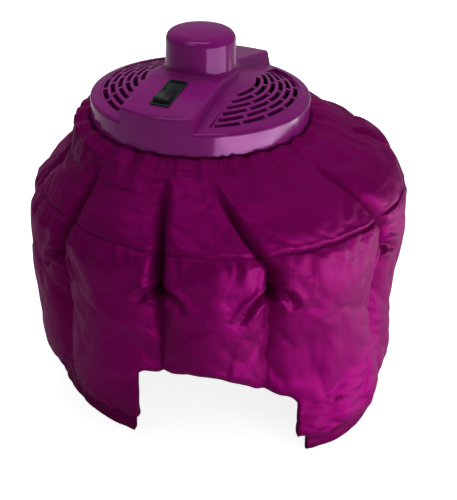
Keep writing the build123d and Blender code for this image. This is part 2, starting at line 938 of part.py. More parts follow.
def unit_parts():
    return {
        "top_housing": top_housing(),
        "base_housing": base_housing(),
        "housing_screws": housing_screws(),
        "cord_gland": cord_gland(),
        "outlet_guard": outlet_guard(),
        "fan_duct": fan_duct(),
        "motor_bracket": motor_bracket(),
        "motor_screws": motor_screws(),
        "motor_can": motor_can(),
        "motor_end_cap": motor_end_cap(),
        "motor_bushes": motor_bushes(),
        "motor_shaft": motor_shaft(),
        "impeller": impeller(),
        "mica_frame": mica_frame(),
        "heater_element": heater_element(),
        "heater_terminals": heater_terminals(),
        "thermostat": thermostat(),
        "thermal_fuse": thermal_fuse(),
        "switch_body": switch_body(),
        "rocker_button": rocker_button(),
        "switch_terminals": switch_terminals(),
        "lead_wires": lead_wires(),
    }


for name, shape in unit_parts().items():
    export_step(UNIT * shape, f"parts/{name}.step")
for name, shape in hood_parts().items():
    export_step(shape, f"parts/{name}.step")
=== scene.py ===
import json
import math
import bmesh
import bpy
import numpy as np
from mathutils import Matrix, Vector


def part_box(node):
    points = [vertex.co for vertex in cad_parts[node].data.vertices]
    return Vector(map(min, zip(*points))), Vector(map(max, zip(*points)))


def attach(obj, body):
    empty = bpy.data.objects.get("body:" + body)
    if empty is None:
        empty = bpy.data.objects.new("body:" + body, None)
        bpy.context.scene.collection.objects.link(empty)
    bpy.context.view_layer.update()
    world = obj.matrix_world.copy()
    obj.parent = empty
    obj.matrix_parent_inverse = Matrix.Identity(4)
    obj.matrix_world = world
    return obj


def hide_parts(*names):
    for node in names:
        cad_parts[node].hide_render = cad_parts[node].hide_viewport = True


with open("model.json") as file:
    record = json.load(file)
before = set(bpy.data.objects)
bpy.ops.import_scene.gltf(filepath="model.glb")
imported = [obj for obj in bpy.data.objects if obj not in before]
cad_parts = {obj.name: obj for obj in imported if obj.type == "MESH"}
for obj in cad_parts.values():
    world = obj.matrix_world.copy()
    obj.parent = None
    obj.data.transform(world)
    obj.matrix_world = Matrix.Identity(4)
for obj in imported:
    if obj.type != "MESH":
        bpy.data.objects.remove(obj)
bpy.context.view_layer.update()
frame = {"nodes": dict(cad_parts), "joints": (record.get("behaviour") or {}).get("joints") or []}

scene = bpy.context.scene

# ------------------------------------------------------------------ frame facts
joints = {joint["name"]: joint for joint in frame["joints"]}
axis_x = joints["unit_swivel"]["pos_m"][0]
body_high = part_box("hood_body")[1]
cuff_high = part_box("hem_cuff")[1]
collar_low, collar_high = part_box("hood_collar")
liner_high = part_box("hood_liner")[1]
skirt_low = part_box("top_housing")[0].z
seam_z = body_high.z
collar_radius = (collar_high.x - collar_low.x) / 2
cuff_radius = cuff_high.y
cuff_height = cuff_high.z
liner_radius = liner_high.y
liner_crown = liner_high.z

# ------------------------------------------------------------------ hood design, metres and degrees
crease_az = np.array([-51.0, -15.0, 18.0, 62.0, 98.0, 133.0, 168.0, 203.0, 238.0, 274.0])
crease_slant = np.array([5.0, 3.0, -10.0, -10.0, -4.0, 3.0, -4.0, 5.0, 2.0, 4.0])
tuft_z = 0.168
opening_az = (-22.8, 28.2)      # edges of the face opening in the cover
opening_x = (-0.0645, 0.0805)
cuff_ends = (-26.2, 30.0)
opening_top = 0.092
corner = 0.010
columns = 372
rows_down = 118
ease_rows = 18                  # rows above the opening that bend down to its edge
side_columns = 22               # columns beside it that follow its side edge
drop_columns = 30               # columns beside it that follow its top edge
join_crease = 6                 # the first and last column meet in this crease, at the back
mild_crease = 2                 # its yoke crease is narrower than the others
cloth_radius = 0.17             # where the weave of the cover is true to size
casing_inner = 0.0962
elastic_inner, elastic_outer = 0.0935, 0.0951
tape_start, tape_end = 0.1335, 0.1535
tape_half = 0.007
liner_spring = 0.105            # where the lining's dome starts
vents = ((0.036, 6), (0.072, 8))        # rings of outlet holes: radius, number
vent_reach = 0.0042
stitch_length = 0.0027
ray_reach = 0.3                 # rays that lay the stitches start this far out
collar_top = skirt_low - 0.0009
casing_radius = collar_radius - 0.0020


def smooth(value, low, high):
    t = np.clip((value - low) / (high - low), 0, 1)
    return t * t * (3 - 2 * t)


def wrap(az):
    """Direction in degrees, from -180 to 180."""
    return (az + 180.0) % 360.0 - 180.0


def bell(az, centre, width):
    """Smooth bump round one direction, 1 at its middle."""
    return np.exp(-(wrap(az - centre) / width) ** 2)


def spline(points, count):
    """Points along a Catmull-Rom curve through the given ones, evenly spaced."""
    p = np.array(points, float)
    p = np.vstack([2 * p[0] - p[1], p, 2 * p[-1] - p[-2]])
    dense = []
    for i in range(1, len(p) - 2):
        t = np.linspace(0, 1, 24, endpoint=False)[:, None]
        a, b, c, d = p[i - 1], p[i], p[i + 1], p[i + 2]
        dense.append(0.5 * (2 * b + (c - a) * t + (2 * a - 5 * b + 4 * c - d) * t**2
                            + (3 * b - a - 3 * c + d) * t**3))
    dense = np.vstack(dense + [p[-2][None]])
    length = np.concatenate([[0], np.cumsum(np.linalg.norm(np.diff(dense, axis=0), axis=1))])
    marks = np.linspace(0, length[-1], count)
    return np.stack([np.interp(marks, length, dense[:, k]) for k in range(dense.shape[1])], 1)


def respaced(line, count, weight):
    """The same line, with its points closer together where the weight is larger."""
    step = np.linalg.norm(np.diff(line, axis=0), axis=1)
    length = np.concatenate([[0], np.cumsum(step)])
    pace = np.concatenate([[0], np.cumsum(0.5 * (weight[1:] + weight[:-1]) * step)])
    marks = np.interp(np.linspace(0, pace[-1], count), pace, length)
    return np.stack([np.interp(marks, length, line[:, k]) for k in range(line.shape[1])], 1)


def column_places(count):
    """Directions of the columns, closer together at the creases; the join lies in a crease."""
    turn = crease_az[join_crease] + np.linspace(0, 360, 7201)
    weight = np.ones_like(turn)
    for centre, slant in zip(crease_az, crease_slant):
        for share in (0.0, 0.5, 1.0):
            weight += 0.7 * bell(turn, centre + slant * share, 3.6)
    pace = np.concatenate([[0], np.cumsum(0.5 * (weight[1:] + weight[:-1]))])
    return np.interp(np.linspace(0, pace[-1], count, endpoint=False), pace, turn)


def hem_flare(az):
    """The front right corner of the hem is pulled outwards."""
    return 0.032 * bell(az, 42, 33) + 0.006 * bell(az, -45, 22)


def hem_lift(az):
    """How far the hem is raised at the left of the opening."""
    return 0.014 * bell(az, -62, 34)


def linked(name, data):
    """New object in the scene."""
    obj = bpy.data.objects.new(name, data)
    scene.collection.objects.link(obj)
    return obj


def smooth_object(name, mesh):
    """Object with smooth shading from a mesh."""
    for polygon in mesh.polygons:
        polygon.use_smooth = True
    return linked(name, mesh)


def grid_mesh(name, points, closed=True, skip=None, uv=None):
    """Mesh from a rows x columns x 3 array; skip marks the quads left out."""
    rows, cols = points.shape[:2]
    faces = []
    uvs = []
    last = cols if closed else cols - 1
    for j in range(rows - 1):
        for i in range(last):
            if skip is not None and skip[j, i]:
                continue
            k = (i + 1) % cols
            faces.append((j * cols + i, j * cols + k, (j + 1) * cols + k, (j + 1) * cols + i))
            if uv is not None:
                right = uv[j, k].copy()
                low_right = uv[j + 1, k].copy()
                if k == 0:
                    right[0] += uv[0, -1, 0] + uv[0, 1, 0]
                    low_right[0] += uv[0, -1, 0] + uv[0, 1, 0]
                uvs.extend((uv[j, i], right, low_right, uv[j + 1, i]))
    mesh = bpy.data.meshes.new(name)
    mesh.from_pydata(points.reshape(-1, 3).tolist(), [], faces)
    if uv is not None:
        layer = mesh.uv_layers.new(name="cloth")
        layer.data.foreach_set("uv", np.array(uvs, np.float32).ravel())
    tidy = bmesh.new()
    tidy.from_mesh(mesh)
    loose = [v for v in tidy.verts if not v.link_faces]
    bmesh.ops.delete(tidy, geom=loose, context="VERTS")
    bmesh.ops.recalc_face_normals(tidy, faces=tidy.faces)
    tidy.to_mesh(mesh)
    tidy.free()
    return smooth_object(name, mesh)


def apply_modifiers(obj):
    graph = bpy.context.evaluated_depsgraph_get()
    mesh = bpy.data.meshes.new_from_object(obj.evaluated_get(graph))
    obj.modifiers.clear()
    old = obj.data
    obj.data = mesh
    bpy.data.meshes.remove(old)


def subdivide(obj):
    modifier = obj.modifiers.new("finer", "SUBSURF")
    modifier.levels = 1
    modifier.render_levels = 1
    modifier.boundary_smooth = "PRESERVE_CORNERS"
    apply_modifiers(obj)


def thicken(obj, amount, offset=-1.0):
    modifier = obj.modifiers.new("cloth_thickness", "SOLIDIFY")
    modifier.thickness = amount
    modifier.offset = offset
    modifier.use_even_offset = False
    apply_modifiers(obj)


# ------------------------------------------------------------------ cover surface
def polar_noise(az, seed, count):
    """Smooth random wave round the hood, -1 to 1, with about count waves."""
    draw = np.random.default_rng(seed)
    total = np.zeros_like(az)
    for _ in range(7):
        waves = int(round(count * draw.uniform(0.6, 1.4)))
        total += draw.uniform(0.5, 1.0) * np.sin(np.radians(az) * waves + draw.uniform(0, 6.28))
    return np.clip(total / 2.6, -1, 1)


def lobe_place(az, z):
    """Signed place across the lobe, -1 and 1 at its two creases, and degrees to the nearest."""
    lean = np.clip((z - seam_z + 0.015) / 0.055, 0, 1)
    count = len(crease_az)
    across = np.zeros(az.shape)
    offset = np.full(az.shape, 999.0)
    for k in range(count):
        low = crease_az[k] + crease_slant[k] * lean
        after = (k + 1) % count
        high = crease_az[after] + crease_slant[after] * lean
        span = (high - low) % 360
        place = (az - low) % 360
        inside = place < span
        across = np.where(inside, place / span * 2 - 1, across)
        offset = np.where(inside, np.where(place * 2 < span, place, place - span), offset)
    return across, offset


def cover_profile():
    """Height and radius from the collar to the roll above the cuff."""
    return [
        (collar_top - 0.0016, casing_radius),
        (collar_top, casing_radius + 0.0014),
        (collar_top - 0.0004, casing_radius + 0.0034),
        (collar_top - 0.0034, 0.1090),
        (collar_top - 0.0082, 0.1160),
        (seam_z + 0.0418, 0.1262),
        (seam_z + 0.0312, 0.1412),
        (seam_z + 0.0155, 0.1582),
        (seam_z, 0.1690),
        (0.190, 0.1750),
        (tuft_z, 0.1765),
        (0.130, 0.1745),
        (0.088, 0.1705),
        (0.052, 0.1665),
        (0.036, 0.1635),
        (0.026, 0.1590),
        (0.0205, 0.1535),
        (0.0215, cuff_radius + 0.0015),
    ]


def collar_shift(z):
    """Sideways place of the hood's middle, which moves over to the collar in the yoke."""
    return axis_x * np.clip((z - seam_z + 0.01) / 0.055, 0, 1)


def right_lean(z):
    """How far the yoke stands out to the right, and falls in on the left."""
    return np.interp(z, [0.190, seam_z, 0.228, 0.240, 0.250, 0.257],
                     [0.000, 0.008, 0.018, 0.015, 0.007, 0.0])


dense = spline(cover_profile(), 900)
profile = respaced(dense, rows_down, 1 + 2.0 * np.exp(-((dense[:, 0] - seam_z) / 0.005) ** 2)
                   + 0.9 * np.exp(-((dense[:, 0] - tuft_z) / 0.024) ** 2)
                   + 0.7 * np.exp(-((dense[:, 0] - collar_top) / 0.006) ** 2))
profile_length = np.concatenate(
    [[0], np.cumsum(np.linalg.norm(np.diff(profile, axis=0), axis=1))])
tangent = np.gradient(profile, axis=0)
tangent /= np.linalg.norm(tangent, axis=1)[:, None]
normal_r = -tangent[:, 0]
normal_z = tangent[:, 1]


def arch_height(x):
    """Height of the top edge of the face opening, lower towards the right."""
    line = np.interp(x, [-0.064, -0.045, -0.018, 0.008, 0.035, 0.05, 0.064, 0.077],
                     [0.0865, 0.0810, 0.0900, 0.0880, 0.0780, 0.0655, 0.0610, 0.0590])
    near = np.clip(np.minimum(x - opening_x[0], opening_x[1] - x), 0, corner)
    return line - 0.6 * (corner - np.sqrt(np.clip(corner**2 - (corner - near) ** 2, 0, None)))


def bell_line(value, centre, width):
    """Smooth bump along a line, 1 at its middle."""
    return np.exp(-((value - centre) / width) ** 2)


def wrinkles(az, along, seed, size, facing, tilt):
    """Thin creases, 0 to 1, that run mostly one way on the side of the hood that faces az."""
    draw = np.random.default_rng(seed)
    turn = math.radians(facing)
    x = np.sin(np.radians(az)) * cloth_radius
    y = -np.cos(np.radians(az)) * cloth_radius
    total = np.zeros(az.shape)
    for _ in range(7):
        lean = tilt + draw.uniform(-0.55, 0.55)
        rate = 2 * math.pi / (size * draw.uniform(0.75, 1.5))
        across = x * math.cos(turn) + y * math.sin(turn)
        depth = (y * math.cos(turn) - x * math.sin(turn)) * draw.uniform(-0.5, 0.5)
        phase = rate * (across * math.cos(lean) + along * math.sin(lean) + depth)
        total += np.sin(phase + draw.uniform(0, 6.28) + 0.8 * np.sin(along * 70 + seed))
    return np.exp(-((total / 1.1) ** 2))


def cover_points(cols):
    """Grid of the cover: profile, lobes, creases, tufts, gathers and seam."""
    az = column_places(cols)
    rows = len(profile)
    z = np.repeat(profile[:, 0][:, None], cols, 1)
    r = np.repeat(profile[:, 1][:, None], cols, 1)
    A = np.repeat(az[None], rows, 0)
    S = np.repeat(profile_length[:, None], cols, 1)
    nr = np.repeat(normal_r[:, None], cols, 1)
    nz = np.repeat(normal_z[:, None], cols, 1)
    across, offset = lobe_place(A, z)
    arc = np.radians(offset) * r

    # crease depth and width down the hood
    levels = -np.array([0.262, 0.254, 0.246, 0.236, 0.222, seam_z, 0.19, tuft_z, 0.150,
                        0.12, 0.07, 0.035, 0.022])
    depth = np.interp(-z, levels, np.array([0.0, 1.2, 6.0, 12.5, 18.0, 20.5, 21.0, 21.0, 12.0,
                                            9.0, 7.0, 4.5, 1.5]) / 1000)
    width = np.interp(-z, -np.array([0.262, 0.236, 0.222, seam_z, tuft_z, 0.155, 0.13, 0.10, 0.03]),
                      np.array([4.5, 3.4, 3.4, 4.0, 4.6, 7.0, 9.0, 11.0, 13.0]) / 1000)
    thin = 1 - 0.35 * bell(A, crease_az[mild_crease] - 6, 14) * smooth(z, 0.19, 0.215)
    sharp = depth * np.exp(-((np.abs(arc) / (width * thin)) ** 1.25))
    broad = np.interp(-z, -np.array([0.262, 0.23, seam_z, tuft_z, 0.10, 0.04, 0.02]),
                      np.array([0.0, 2.0, 4.5, 7.5, 6.0, 4.0, 0.5]) / 1000)
    push = -sharp - broad * np.abs(across) ** 2.6

    # tufts: a pinch with folds running down and to the sides
    down = z - tuft_z
    push -= 0.008 * np.exp(-((arc / 0.009) ** 2 + (down / 0.011) ** 2))
    draw = np.random.default_rng(5)
    for k in range(len(crease_az)):
        place = wrap(A - crease_az[k])
        near = np.abs(place) < 22
        d = np.radians(place) * r
        for side in (-1, 1):
            bend = draw.uniform(0.012, 0.026)
            reach = draw.uniform(0.018, 0.030)
            fall = draw.uniform(0.008, 0.024)
            distance = np.full(d.shape, 9.0)
            fade = np.zeros(d.shape)
            for t in np.linspace(0, 1, 12):
                cx = side * (reach * t)
                cz = -0.003 - fall * t**1.7 + bend * 0.3 * math.sin(math.pi * t)
                gap = np.hypot(d - cx, down - cz)
                closer = gap < distance
                distance = np.where(closer, gap, distance)
                fade = np.where(closer, 1 - t, fade)
            groove = 0.0120 * fade**0.45 * np.exp(-((distance / 0.0034) ** 2))
            ridge = 0.0044 * fade**0.5 * np.exp(-(((distance - 0.0078) / 0.0038) ** 2))
            push += np.where(near, ridge - groove, 0)

    # gathers at the collar, deeper ones reaching further down the yoke
    fine = polar_noise(A, 3, 74)
    wide = polar_noise(A, 4, 30)
    push += 0.0008 * fine * np.exp(-((S - 0.008) / 0.012) ** 2)
    push += 0.0015 * wide * np.exp(-((S - 0.012) / 0.020) ** 2)
    push += 0.0006 * polar_noise(A, 6, 40) * np.exp(-((S - 0.035) / 0.022) ** 2)

    # yoke seam: a sewn groove with the body puckered under it
    seam_s = profile_length[np.argmin(np.abs(profile[:, 0] - seam_z))]
    below = S - seam_s + 0.0012 * polar_noise(A, 7, 34)
    push -= (0.0021 + 0.0016 * bell(A, 62, 30)) * np.exp(-((below - 0.0005) / 0.0014) ** 2)
    push += 0.0007 * np.exp(-((below + 0.0035) / 0.0026) ** 2)
    pucker = polar_noise(A + 3 * np.sin(np.radians(A) * 11), 8, 88)
    push += 0.0014 * pucker * np.exp(-((below - 0.008) / 0.008) ** 2)
    push += 0.0010 * polar_noise(A, 9, 40) * np.exp(-((below - 0.018) / 0.014) ** 2)

    # fine wrinkles, most on the lower right and at the left hem
    lower_right = bell(A, 38, 34) * bell_line(z, 0.085, 0.055)
    left_hem = bell(A, -42, 24) * bell_line(z, 0.040, 0.030)
    push -= 0.0013 * wrinkles(A, S, 51, 0.026, 38, -0.8) * np.clip(lower_right, 0, 1)
    push -= 0.0014 * wrinkles(A, S, 52, 0.022, -38, 0.5) * np.clip(left_hem, 0, 1)
    push -= 0.0005 * wrinkles(A, S, 53, 0.034, 90, 0.3) * smooth(0.25 - z, 0, 0.05)
    push -= 0.0005 * wrinkles(A, S, 54, 0.038, 0, -0.4) * smooth(0.25 - z, 0, 0.05)

    # puckers where the body is gathered into the cuff
    hem_s = profile_length[-1] - S
    push += 0.0013 * polar_noise(A, 10, 60) * np.exp(-((hem_s - 0.008) / 0.014) ** 2)
    push += 0.0016 * polar_noise(A, 12, 26) * np.exp(-((hem_s - 0.03) / 0.024) ** 2)

    # the hood stands fuller on its right side and hangs flatter on its left
    fuller = 0.004 * bell(A, 95, 46) - 0.003 * bell(A, -80, 50)
    push += fuller * smooth(z, 0.10, 0.17) * (1 - smooth(z, 0.235, 0.262))
    raised = 0.006 * (bell(A, 100, 50) + bell(A, -100, 50) + bell(A, 180, 60))
    rise = np.exp(-((S - 0.020) / 0.012) ** 2) * raised

    # the casing of the collar: a sewn line and bunched cloth above it, most on the right
    bunch = 0.15 + 0.85 * np.clip(bell(A, 62, 36) + bell(A, 205, 50), 0, 1)
    push -= 0.0011 * np.exp(-((S - 0.0135) / 0.0016) ** 2)
    push += 0.0016 * bunch * polar_noise(A, 13, 92) * np.exp(-((S - 0.007) / 0.0055) ** 2)
    frill = smooth(fine + 0.4 * wide, -0.6, 1.0)
    rise += 0.0018 * bunch * frill * np.exp(-((S - 0.0035) / 0.003) ** 2)

    r = r + push * nr + right_lean(z) * np.sin(np.radians(A))
    z = z + push * nz + rise
    r = r + hem_flare(A) * (1 - smooth(z, 0.02, 0.13))
    z = z + hem_lift(A) * (1 - smooth(z, 0.02, 0.10))

    shift = collar_shift(profile[:, 0])[:, None]
    x = r * np.sin(np.radians(A)) + shift
    y = -r * np.cos(np.radians(A))
    return az, np.stack([x, y, z], 2), S, A


def straight_side(points, column, step, target, edge_row):
    """Moves a side edge of the opening to a plane of constant x, and eases the cloth beside it."""
    rows, cols = points.shape[:2]
    for j in range(edge_row - ease_rows, rows):
        ease = float(smooth(j, edge_row - ease_rows, edge_row))
        change = (target - points[j, column, 0]) * ease
        for k in range(side_columns):
            i = (column + step * k) % cols
            share = 1 - float(smooth(k, 0, side_columns))
            x, y = points[j, i, 0], points[j, i, 1]
            reach = math.hypot(x, y)
            points[j, i, 0] = x + change * share
            points[j, i, 1] = -math.sqrt(reach**2 - points[j, i, 0] ** 2)


def cut_opening(az, points):
    """Bends the rows over the face opening to its edge and marks the quads inside it."""
    rows, cols = points.shape[:2]
    a = wrap(az)
    inside = (a >= opening_az[0]) & (a <= opening_az[1])
    edge_row = int(np.argmin(np.abs(profile[:, 0] - opening_top)))
    order = np.where(inside)[0]
    sides = [order[np.argmin(a[inside])], order[np.argmax(a[inside])]]
    for column, step, target in zip(sides, (-1, 1), opening_x):
        straight_side(points, column, step, target, edge_row)
    start = edge_row - ease_rows
    drop = np.zeros(cols)
    for i in order:
        drop[i] = arch_height(points[edge_row, i, 0]) - points[edge_row, i, 2]
    for side, step in zip(sides, (-1, 1)):
        for k in range(1, drop_columns):
            drop[(side + step * k) % cols] = drop[side] * (1 - float(smooth(k, 0, drop_columns)))
    for j in range(start, rows):
        above = (j - start) / (edge_row - start)
        beneath = (rows - 1 - j) / (rows - 1 - edge_row)
        points[j, :, 2] += drop * (above**2 if j <= edge_row else beneath)
    for i in order:
        # the cloth rolls inwards at the edge
        for back, inward in enumerate((0.0030, 0.0009)):
            j = edge_row - back
            radial = np.array([points[j, i, 0], points[j, i, 1], 0])
            points[j, i] -= radial / np.linalg.norm(radial) * inward
    skip = np.zeros((rows, cols), bool)
    for i in range(cols):
        if inside[i] and inside[(i + 1) % cols]:
            skip[edge_row:, i] = True
    return points, skip, edge_row, sides


az_line, cover_grid, arc_grid, az_grid = cover_points(columns)
cover_grid, hidden_quads, edge_row, opening_sides = cut_opening(az_line, cover_grid)
cover_uv = np.stack([np.radians(az_grid) * cloth_radius, arc_grid], 2)
cover = grid_mesh("hood_cover", cover_grid, True, hidden_quads, cover_uv)


def pins():
    """How firmly each point of the cover is held: seams and tufts are sewn down."""
    co = np.array([v.co for v in cover.data.vertices])
    az = np.degrees(np.arctan2(co[:, 0] - collar_shift(co[:, 2]), -co[:, 1]))
    hold = np.zeros(len(co))
    border = set()
    tidy = bmesh.new()
    tidy.from_mesh(cover.data)
    for edge in tidy.edges:
        if edge.is_boundary:
            border.update(v.index for v in edge.verts)
    tidy.free()
    for index in border:
        hold[index] = 1.0
    d = np.radians(lobe_place(az, co[:, 2])[1]) * 0.16
    line = np.exp(-((d / 0.0055) ** 2)) * smooth(co[:, 2], 0.125, 0.160)
    hold = np.maximum(hold, 0.92 * line * (1 - smooth(co[:, 2], 0.240, 0.252)))
    crescents = np.exp(-((d / 0.026) ** 2 + ((co[:, 2] - tuft_z + 0.010) / 0.020) ** 2))
    hold = np.maximum(hold, 0.75 * crescents)
    hold = np.maximum(hold, 0.90 * np.exp(-(((co[:, 2] - seam_z) / 0.0035) ** 2)))
    hold = np.maximum(hold, 0.80 * smooth(co[:, 2], 0.250, 0.258))
    return np.where(hold > 0.05, hold, 0.0)


def simulate(obj, hold, frames, pressure, excess, cap_out, cap_in):
    """Puffs the cloth with a little spare length and keeps each point near its place."""
    group = obj.vertex_groups.new(name="hold")
    for index in np.where(hold > 0)[0]:
        group.add([int(index)], float(hold[index]), "REPLACE")
    base = np.array([v.co for v in obj.data.vertices])
    normals = np.array([v.normal for v in obj.data.vertices])
    modifier = obj.modifiers.new("puff", "CLOTH")
    cloth = modifier.settings
    nylon = dict(quality=5, mass=0.12, tension_stiffness=10, compression_stiffness=10,
                 shear_stiffness=3, bending_stiffness=0.25, tension_damping=8,
                 compression_damping=8, shear_damping=6, air_damping=2)
    for key, value in nylon.items():
        setattr(cloth, key, value)
    cloth.use_pressure = True
    cloth.uniform_pressure_force = pressure
    cloth.vertex_group_mass = "hold"
    cloth.pin_stiffness = 1.0
    cloth.shrink_min = -excess
    cloth.effector_weights.gravity = 0
    modifier.collision_settings.use_collision = False
    modifier.point_cache.frame_start = 1
    modifier.point_cache.frame_end = frames
    for number in range(1, frames + 1):
        scene.frame_set(number)
    graph = bpy.context.evaluated_depsgraph_get()
    moved = np.array([v.co for v in obj.evaluated_get(graph).data.vertices])
    scene.frame_set(1)
    obj.modifiers.clear()
    change = moved - base
    along = np.einsum("ij,ij->i", change, normals)
    change -= along[:, None] * normals
    slide = np.linalg.norm(change, axis=1)
    change *= (np.minimum(slide, 0.003) / np.maximum(slide, 1e-9))[:, None]
    kept = np.where(along > 0, cap_out * np.tanh(along / cap_out), cap_in * np.tanh(along / cap_in))
    free = 1 - 0.93 * np.clip(hold, 0, 1)
    final = base + free[:, None] * (change + kept[:, None] * normals)
    obj.data.vertices.foreach_set("co", final.astype(np.float32).ravel())
    obj.data.update()


simulate(cover, pins(), 18, 0.8, 0.03, 0.0035, 0.0035)
subdivide(cover)
thicken(cover, 0.0006)


# ------------------------------------------------------------------ collar, cuff, lining, band
def ring_points(section, cols, ripple, centre=0.0):
    """Rows of points turned round the hood from a closed section of (radius, height, ripple)."""
    az = np.arange(cols) * 360.0 / cols
    rows = []
    for radius, height, amount, lift in section:
        r = radius + amount * ripple[0](az)
        z = height + lift * ripple[1](az)
        x = r * np.sin(np.radians(az)) + centre
        rows.append(np.stack([x, -r * np.cos(np.radians(az)), z], 1))
    return np.array(rows)


def close_rows(points):
    return np.concatenate([points, points[:1]], 0)


def collar():
    """Casing of the collar with its frill, under the skirt of the unit."""
    low = collar_low.z
    high = skirt_low - 0.0022
    outer = casing_radius - 0.0016
    section = [
        (casing_inner, low + 0.0008, 0.0000, 0.0),
        (0.0990, low - 0.0002, 0.0002, 0.0002),
        (outer - 0.0006, low + 0.0005, 0.0007, 0.0003),
        (outer + 0.0010, low + 0.0040, 0.0010, 0.0),
        (outer + 0.0013, low + 0.0075, 0.0012, 0.0),
        (outer + 0.0002, low + 0.0098, 0.0006, 0.0),
        (outer - 0.0004, low + 0.0106, 0.0004, 0.0),
        (outer + 0.0004, low + 0.0116, 0.0009, 0.0),
        (outer + 0.0016, low + 0.0148, 0.0013, 0.0004),
        (outer + 0.0014, high - 0.0008, 0.0013, 0.0008),
        (outer + 0.0006, high + 0.0002, 0.0008, 0.0003),
        (outer - 0.0004, high + 0.0004, 0.0004, 0.0003),
        (0.0978, skirt_low - 0.0008, 0.0000, 0.0),
        (casing_inner, skirt_low - 0.0006, 0.0000, 0.0),
        (0.0957, skirt_low - 0.0060, 0.0000, 0.0),
    ]
    ripple = (lambda az: 0.55 * polar_noise(az, 21, 105) + 0.3 * polar_noise(az, 22, 170),
              lambda az: polar_noise(az, 23, 60))
    points = close_rows(ring_points(section, 900, ripple, axis_x))
    arc = np.linspace(0, 0.05, len(points))
    angle = np.arange(900) * 2 * math.pi / 900 * 0.102
    uv = np.stack(np.meshgrid(angle, arc), 2)
    obj = grid_mesh("hood_collar_casing", points, True, None, uv)
    weld(obj)
    subdivide(obj)
    return obj


def weld(obj):
    """Joins the points at the seam of a closed section."""
    tidy = bmesh.new()
    tidy.from_mesh(obj.data)
    bmesh.ops.remove_doubles(tidy, verts=tidy.verts, dist=1e-6)
    bmesh.ops.recalc_face_normals(tidy, faces=tidy.faces)
    tidy.to_mesh(obj.data)
    tidy.free()


def elastic():
    """Ribbed elastic inside the casing."""
    low = collar_low.z + 0.0006
    high = skirt_low - 0.0009
    section = [(elastic_inner, low, 0, 0), (elastic_outer, low, 0.0001, 0),
               (elastic_outer, high, 0.0001, 0), (elastic_inner, high, 0, 0)]
    cols = 600
    ripple = (lambda az: np.sin(np.radians(az) * 150), lambda az: 0 * az)
    obj = grid_mesh("collar_elastic_band", close_rows(ring_points(section, cols, ripple, axis_x)))
    weld(obj)
    return obj


def cuff_line(az, inset=0.0):
    """Radius of the cuff round the hood, with the flare it shares with the cover."""
    return cuff_radius - inset + hem_flare(az)


def cuff():
    """Bunched band at the hem, open in front."""
    cols = 720
    az = np.arange(cols) * 360.0 / cols
    lift = hem_lift(az)
    crinkle = polar_noise(az, 31, 46)
    coarse = polar_noise(az, 32, 17)
    rows = []
    outside = [
        (-0.0012, cuff_height + 0.0025, 0.3), (0.0000, cuff_height - 0.004, 0.8),
        (0.0006, cuff_height - 0.010, 1.0), (0.0003, 0.0150, 1.0), (-0.0006, 0.0118, 0.5),
        (-0.0002, 0.0095, 0.8), (0.0010, 0.0060, 1.0), (0.0010, 0.0026, 0.8), (0.0000, 0.0008, 0.5),
        (-0.0012, 0.0004, 0.4), (-0.0026, 0.0010, 0.3), (-0.0032, 0.0050, 0.3),
        (-0.0033, 0.0150, 0.2), (-0.0034, cuff_height, 0.1),
    ]
    for push, height, share in outside:
        tall = height / cuff_height
        twist = 1.3 * np.sin(np.radians(az * 23 + 300 * tall))
        wave = polar_noise(az + twist + 1.6 * tall, 31, 46) * 0.6 + coarse * 0.4
        r = cuff_line(az) + push + 0.0017 * share * wave
        z = height + lift * (1 - 0.15 * tall) + 0.0008 * share * crinkle * (height > 0.001)
        rows.append(np.stack([r * np.sin(np.radians(az)), -r * np.cos(np.radians(az)), z], 1))
    points = np.array(rows)
    a = wrap(az)
    gap = (a > cuff_ends[0]) & (a < cuff_ends[1])
    skip = np.repeat((gap | np.roll(gap, -1))[None], len(points), 0)
    uv = np.stack(np.meshgrid(np.radians(az) * 0.15, np.linspace(0, 0.06, len(points))), 2)
    obj = grid_mesh("hem_cuff_band", points, True, skip, uv)
    subdivide(obj)
    thicken(obj, 0.0005, 0.0)
    return obj


def vent_places():
    """Middle of each outlet hole in the lining, seen from above."""
    for radius, count in vents:
        for i in range(count):
            angle = math.radians(360 / count * (i + 0.5))
            yield radius * math.cos(angle), radius * math.sin(angle)


